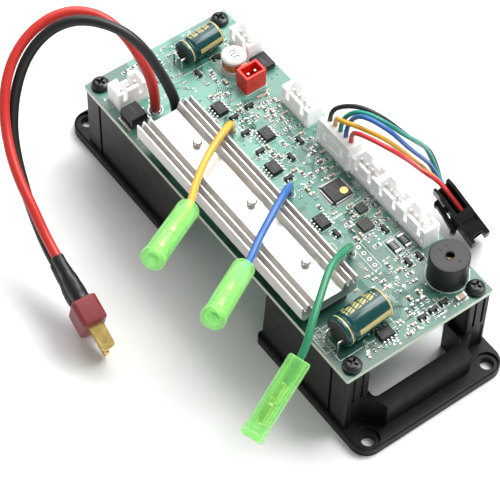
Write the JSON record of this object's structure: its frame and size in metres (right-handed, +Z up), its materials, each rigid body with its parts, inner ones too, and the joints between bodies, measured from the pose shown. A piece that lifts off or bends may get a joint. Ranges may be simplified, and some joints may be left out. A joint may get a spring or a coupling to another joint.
{
  "type": "motor speed controller",
  "caption": "Motor controller board on a black moulded bracket, with finned heatsink, signal headers, buzzer, battery leads and plug, sleeved phase leads and a latching wire harness",
  "frame": {"origin": "centre of the bracket's underside, on the surface it stands on", "axes": "+X along the board's long side towards the buzzer end, +Y across the board towards the signal headers, +Z up"},
  "size_m": [0.1504, 0.1221, 0.0636],
  "materials": {
    "bracket": "satin moulded",
    "board": "solder mask",
    "black_screw": "black",
    "steel_screw": "bright",
    "heatsink": "satin extruded",
    "pad": "matt",
    "chip": "moulded",
    "lead_metal": "tinned",
    "gold_pin": "bright",
    "ceramic": "fired",
    "resistor": "glazed",
    "can": "printed film",
    "bung": "matt",
    "ferrite": "matt",
    "copper": "enamelled",
    "buzzer": "satin",
    "nylon": "natural nylon",
    "red_nylon": "red nylon",
    "connector_black": "satin",
    "red_silicone": "satin",
    "black_silicone": "satin",
    "plug": "moulded",
    "shrink": "matt",
    "yellow_wire": "satin",
    "blue_wire": "satin",
    "green_wire": "satin",
    "teal_wire": "satin",
    "sleeve": "clear fluorescent"
  },
  "bodies": {
    "controller": {"mounting_bracket": "bracket", "circuit_board": "board", "board_screws": "black_screw", "heatsink_screws": "steel_screw", "heatsink_nuts": "steel_screw", "heatsink": "heatsink", "thermal_pad": "pad", "mosfet_bodies": "chip", "mosfet_tabs_and_leads": "lead_metal", "gate_driver_bodies": "chip", "gate_driver_leads": "lead_metal", "microcontroller_body": "chip", "microcontroller_leads": "lead_metal", "leadless_chips": "chip", "transistor_bodies": "chip", "transistor_leads": "lead_metal", "power_transistor_bodies": "chip", "power_transistor_leads": "lead_metal", "sense_resistors": "resistor", "chip_resistors": "resistor", "chip_capacitors": "ceramic", "capacitor_cans": "can", "capacitor_bungs": "bung", "capacitor_legs": "lead_metal", "inductor_core": "ferrite", "inductor_winding": "copper", "buzzer_housing": "buzzer", "buzzer_element": "copper", "signal_headers": "nylon", "charge_header": "red_nylon", "power_switch_header": "nylon", "header_pins": "gold_pin", "harness_plug": "nylon", "harness_connector": "connector_black", "harness_contacts": "gold_pin", "harness_wire_black": "black_silicone", "harness_wire_yellow": "yellow_wire", "harness_wire_green": "teal_wire", "harness_wire_blue": "blue_wire", "harness_wire_red": "red_silicone", "battery_plug_body": "plug", "battery_plug_blades": "gold_pin", "lead_shrink_sleeves": "shrink", "battery_lead_red": "red_silicone", "battery_lead_black": "black_silicone", "phase_lead_yellow": "yellow_wire", "phase_lead_blue": "blue_wire", "phase_lead_green": "green_wire", "bullet_contacts": "gold_pin"},
    "yellow_sleeve": {"sleeve_yellow": "sleeve"},
    "blue_sleeve": {"sleeve_blue": "sleeve"},
    "green_sleeve": {"sleeve_green": "sleeve"},
    "latch_lever": {"latch_lever": "connector_black"}
  },
  "joints": [
    {"name": "yellow_sleeve_slide", "type": "slide", "parent": "controller", "child": "yellow_sleeve", "axis": [0.4872, -0.8349, 0.256], "range_m": [-0.0035, 0]},
    {"name": "blue_sleeve_slide", "type": "slide", "parent": "controller", "child": "blue_sleeve", "axis": [0.5173, -0.7943, 0.3186], "range_m": [-0.0035, 0]},
    {"name": "green_sleeve_slide", "type": "slide", "parent": "controller", "child": "green_sleeve", "axis": [0.2585, -0.8408, -0.4756], "range_m": [-0.0035, 0]},
    {"name": "latch_lever_hinge", "type": "hinge", "parent": "controller", "child": "latch_lever", "pos_m": [0.02578, 0.04246, 0.01147], "axis": [0.3587, -0.3627, 0.8601], "range_deg": [-6, 0], "stiffness_Nm_per_rad": 0.02}
  ]
}
